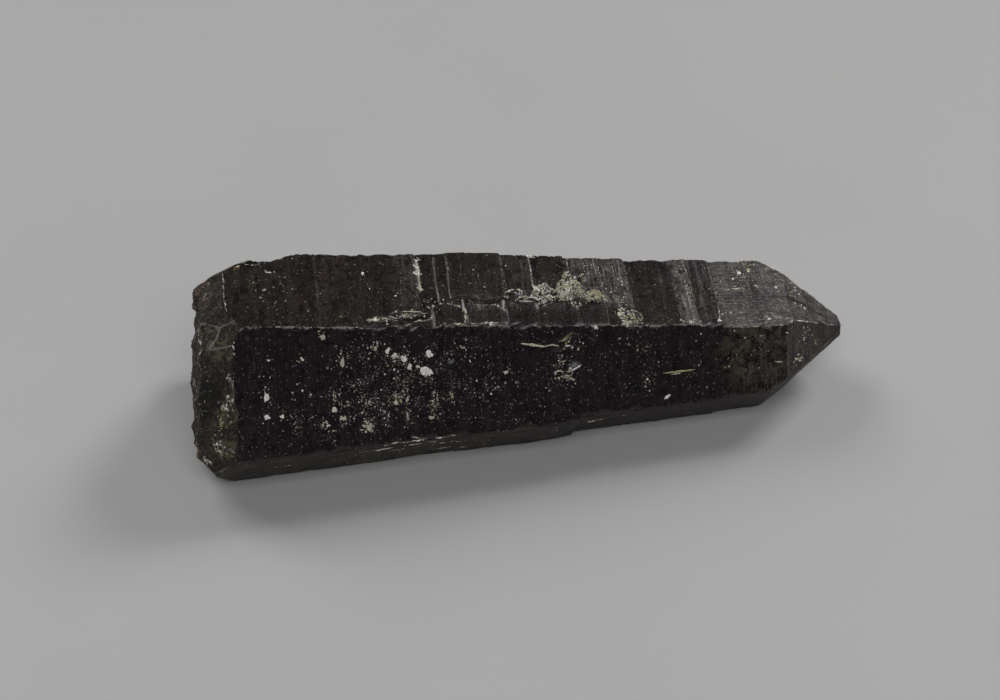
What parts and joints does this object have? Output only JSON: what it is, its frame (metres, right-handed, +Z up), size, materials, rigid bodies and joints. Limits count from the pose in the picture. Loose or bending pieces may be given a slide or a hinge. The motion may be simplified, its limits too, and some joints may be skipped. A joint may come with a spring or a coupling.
{
  "type": "morion quartz crystal",
  "caption": "Tapering hexagonal quartz crystal, black-brown, with growth steps, plates and pale crust on its faces, a pointed end and a rough broken end.",
  "frame": {"origin": "on the surface that the crystal lies on, under the middle of its box", "axes": "+X along the crystal towards its pointed end, +Y to the back, away from the side seen first, +Z up"},
  "size_m": [0.113, 0.0384, 0.0312],
  "materials": {
    "morion_quartz": "glassy faces with fine growth lines, rough where it is broken"
  },
  "bodies": {
    "root": {"crystal": "morion_quartz"}
  },
  "joints": []
}
